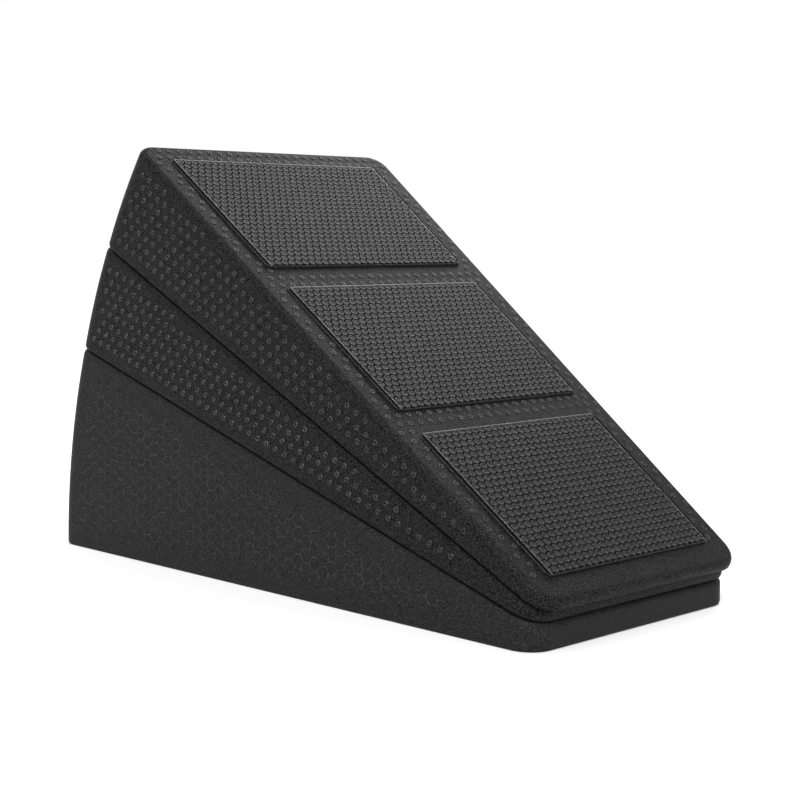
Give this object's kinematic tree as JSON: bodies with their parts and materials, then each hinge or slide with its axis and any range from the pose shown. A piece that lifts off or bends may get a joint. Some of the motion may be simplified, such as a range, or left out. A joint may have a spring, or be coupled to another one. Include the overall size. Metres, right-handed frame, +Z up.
{
  "type": "ramp leveler",
  "caption": "Stack of nesting wedge blocks with a steep sloping top, rimmed shingled grip treads and a rounded thick end, standing on a flat base.",
  "frame": {"origin": "middle of the stack's footprint at floor level, under the centre of its bounding box", "axes": "+X towards the thin end of the ramp, -X towards the tall rounded end, +Y across the ramp, +Z up off the floor"},
  "size_m": [0.3926, 0.2052, 0.2499],
  "materials": {
    "lower_wedge": "black closed-cell foam, moulded dot skin, low sheen",
    "lower_heel_tread": "black rubber, moulded honeycomb grip pattern, low sheen",
    "lower_mid_tread": "black rubber, moulded honeycomb grip pattern, low sheen",
    "lower_toe_tread": "black rubber, moulded honeycomb grip pattern, low sheen",
    "middle_wedge": "black closed-cell foam, moulded dot skin, low sheen",
    "middle_heel_tread": "black rubber, moulded honeycomb grip pattern, low sheen",
    "middle_mid_tread": "black rubber, moulded honeycomb grip pattern, low sheen",
    "middle_toe_tread": "black rubber, moulded honeycomb grip pattern, low sheen",
    "upper_wedge": "black closed-cell foam, moulded dot skin, low sheen",
    "upper_heel_tread": "black rubber, moulded honeycomb grip pattern, low sheen",
    "upper_mid_tread": "black rubber, moulded honeycomb grip pattern, low sheen",
    "upper_toe_tread": "black rubber, moulded honeycomb grip pattern, low sheen"
  },
  "bodies": {
    "lower": {"lower_wedge": "lower_wedge", "lower_heel_tread": "lower_heel_tread", "lower_mid_tread": "lower_mid_tread", "lower_toe_tread": "lower_toe_tread"},
    "middle": {"middle_wedge": "middle_wedge", "middle_heel_tread": "middle_heel_tread", "middle_mid_tread": "middle_mid_tread", "middle_toe_tread": "middle_toe_tread"},
    "upper": {"upper_wedge": "upper_wedge", "upper_heel_tread": "upper_heel_tread", "upper_mid_tread": "upper_mid_tread", "upper_toe_tread": "upper_toe_tread"}
  },
  "joints": [
    {"name": "middle_lift", "type": "slide", "parent": "lower", "child": "middle", "axis": [0.299, 0, 0.9542], "range_m": [0, 0.12]},
    {"name": "upper_lift", "type": "slide", "parent": "middle", "child": "upper", "axis": [0.4493, 0, 0.8934], "range_m": [0, 0.12]}
  ]
}
